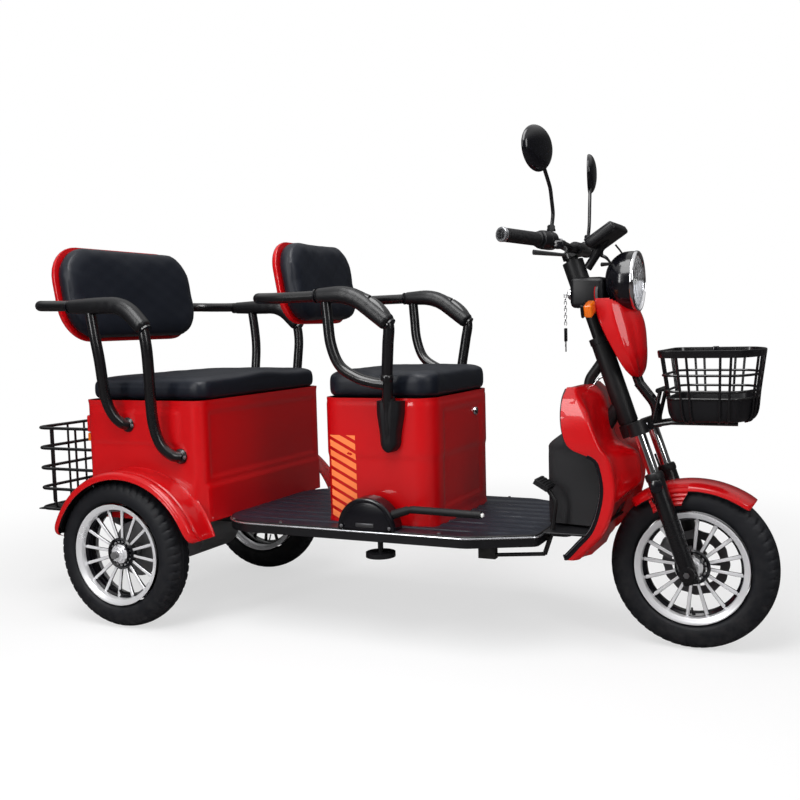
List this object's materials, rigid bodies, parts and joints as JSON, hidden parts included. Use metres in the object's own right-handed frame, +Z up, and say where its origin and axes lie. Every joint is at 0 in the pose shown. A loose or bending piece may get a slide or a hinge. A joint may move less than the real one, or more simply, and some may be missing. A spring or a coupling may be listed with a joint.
{
  "type": "open three-seat electric passenger tricycle",
  "caption": "Open electric tricycle with a raked front fork, rider seat and passenger bench over storage boxes, armrests and wire baskets.",
  "frame": {"origin": "on the ground, at the middle of the bounding box", "axes": "+Z up, -Y forward, +X to the rider's left"},
  "size_m": [0.8, 2.1609, 1.2689],
  "materials": {
    "gloss_red": "gloss deep red paint",
    "satin_black": "satin black paint",
    "black_plastic": "grained black plastic",
    "leather": "black leatherette",
    "rubber": "black rubber",
    "tyre": "black tyre rubber",
    "alloy": "polished alloy",
    "chrome": "bright chrome",
    "steel": "plain steel",
    "lens": "clear lens",
    "amber": "amber lens",
    "red_lens": "red lens",
    "battery": "plain case"
  },
  "bodies": {
    "chassis": {"main_frame": "satin_black", "rear_axle": "satin_black", "drive_motor": "satin_black", "leaf_springs": "steel", "deck": "black_plastic", "leg_shield": "gloss_red", "leg_shield_liner": "black_plastic", "front_seat_box": "gloss_red", "rear_seat_box": "gloss_red", "battery_pack": "battery", "front_backrest_pad": "leather", "front_backrest_shell": "gloss_red", "rear_backrest_pad": "leather", "rear_backrest_shell": "gloss_red", "front_armrest_frame": "satin_black", "rear_armrest_frame": "satin_black", "front_armrest_pads": "rubber", "rear_armrest_pads": "rubber", "armrest_sockets": "black_plastic", "rear_fenders": "gloss_red", "rear_basket": "satin_black", "tail_lamps": "red_lens", "foot_brake": "satin_black", "hand_brake": "black_plastic", "horn": "satin_black"},
    "steering": {"steering_stem": "satin_black", "fork_stanchions": "chrome", "fork_sliders": "satin_black", "front_mudguard": "gloss_red", "handlebar": "satin_black", "hand_controls": "rubber", "mirrors": "black_plastic", "display_unit": "black_plastic", "headlight_cowl": "gloss_red", "headlight_housing": "black_plastic", "headlight_lens": "lens", "turn_signals": "amber", "front_basket": "satin_black", "basket_carrier": "satin_black"},
    "front_wheel": {"front_tyre": "tyre", "front_rim": "alloy"},
    "rear_wheel_left": {"rear_tyre_left": "tyre", "rear_rim_left": "alloy"},
    "rear_wheel_right": {"rear_tyre_right": "tyre", "rear_rim_right": "alloy"},
    "front_seat_lid": {"front_seat": "leather"},
    "rear_seat_lid": {"rear_seat": "leather"}
  },
  "joints": [
    {"name": "steering", "type": "hinge", "parent": "chassis", "child": "steering", "pos_m": [0, -0.68291, 0.65375], "axis": [0, 0.3256, 0.9455], "range_deg": [-38, 38]},
    {"name": "front_wheel_spin", "type": "hinge", "parent": "steering", "child": "front_wheel", "pos_m": [0, -0.8755, 0.205], "axis": [1, 0, 0], "continuous": true},
    {"name": "rear_left_wheel_spin", "type": "hinge", "parent": "chassis", "child": "rear_wheel_left", "pos_m": [0.34, 0.6175, 0.205], "axis": [1, 0, 0], "continuous": true},
    {"name": "rear_right_wheel_spin", "type": "hinge", "parent": "chassis", "child": "rear_wheel_right", "pos_m": [-0.34, 0.6175, 0.205], "axis": [1, 0, 0], "continuous": true},
    {"name": "front_seat_hinge", "type": "hinge", "parent": "chassis", "child": "front_seat_lid", "pos_m": [0, 0.0595, 0.631], "axis": [-1, 0, 0], "range_deg": [0, 75]},
    {"name": "rear_seat_hinge", "type": "hinge", "parent": "chassis", "child": "rear_seat_lid", "pos_m": [0, 0.7715, 0.626], "axis": [-1, 0, 0], "range_deg": [0, 70]}
  ]
}
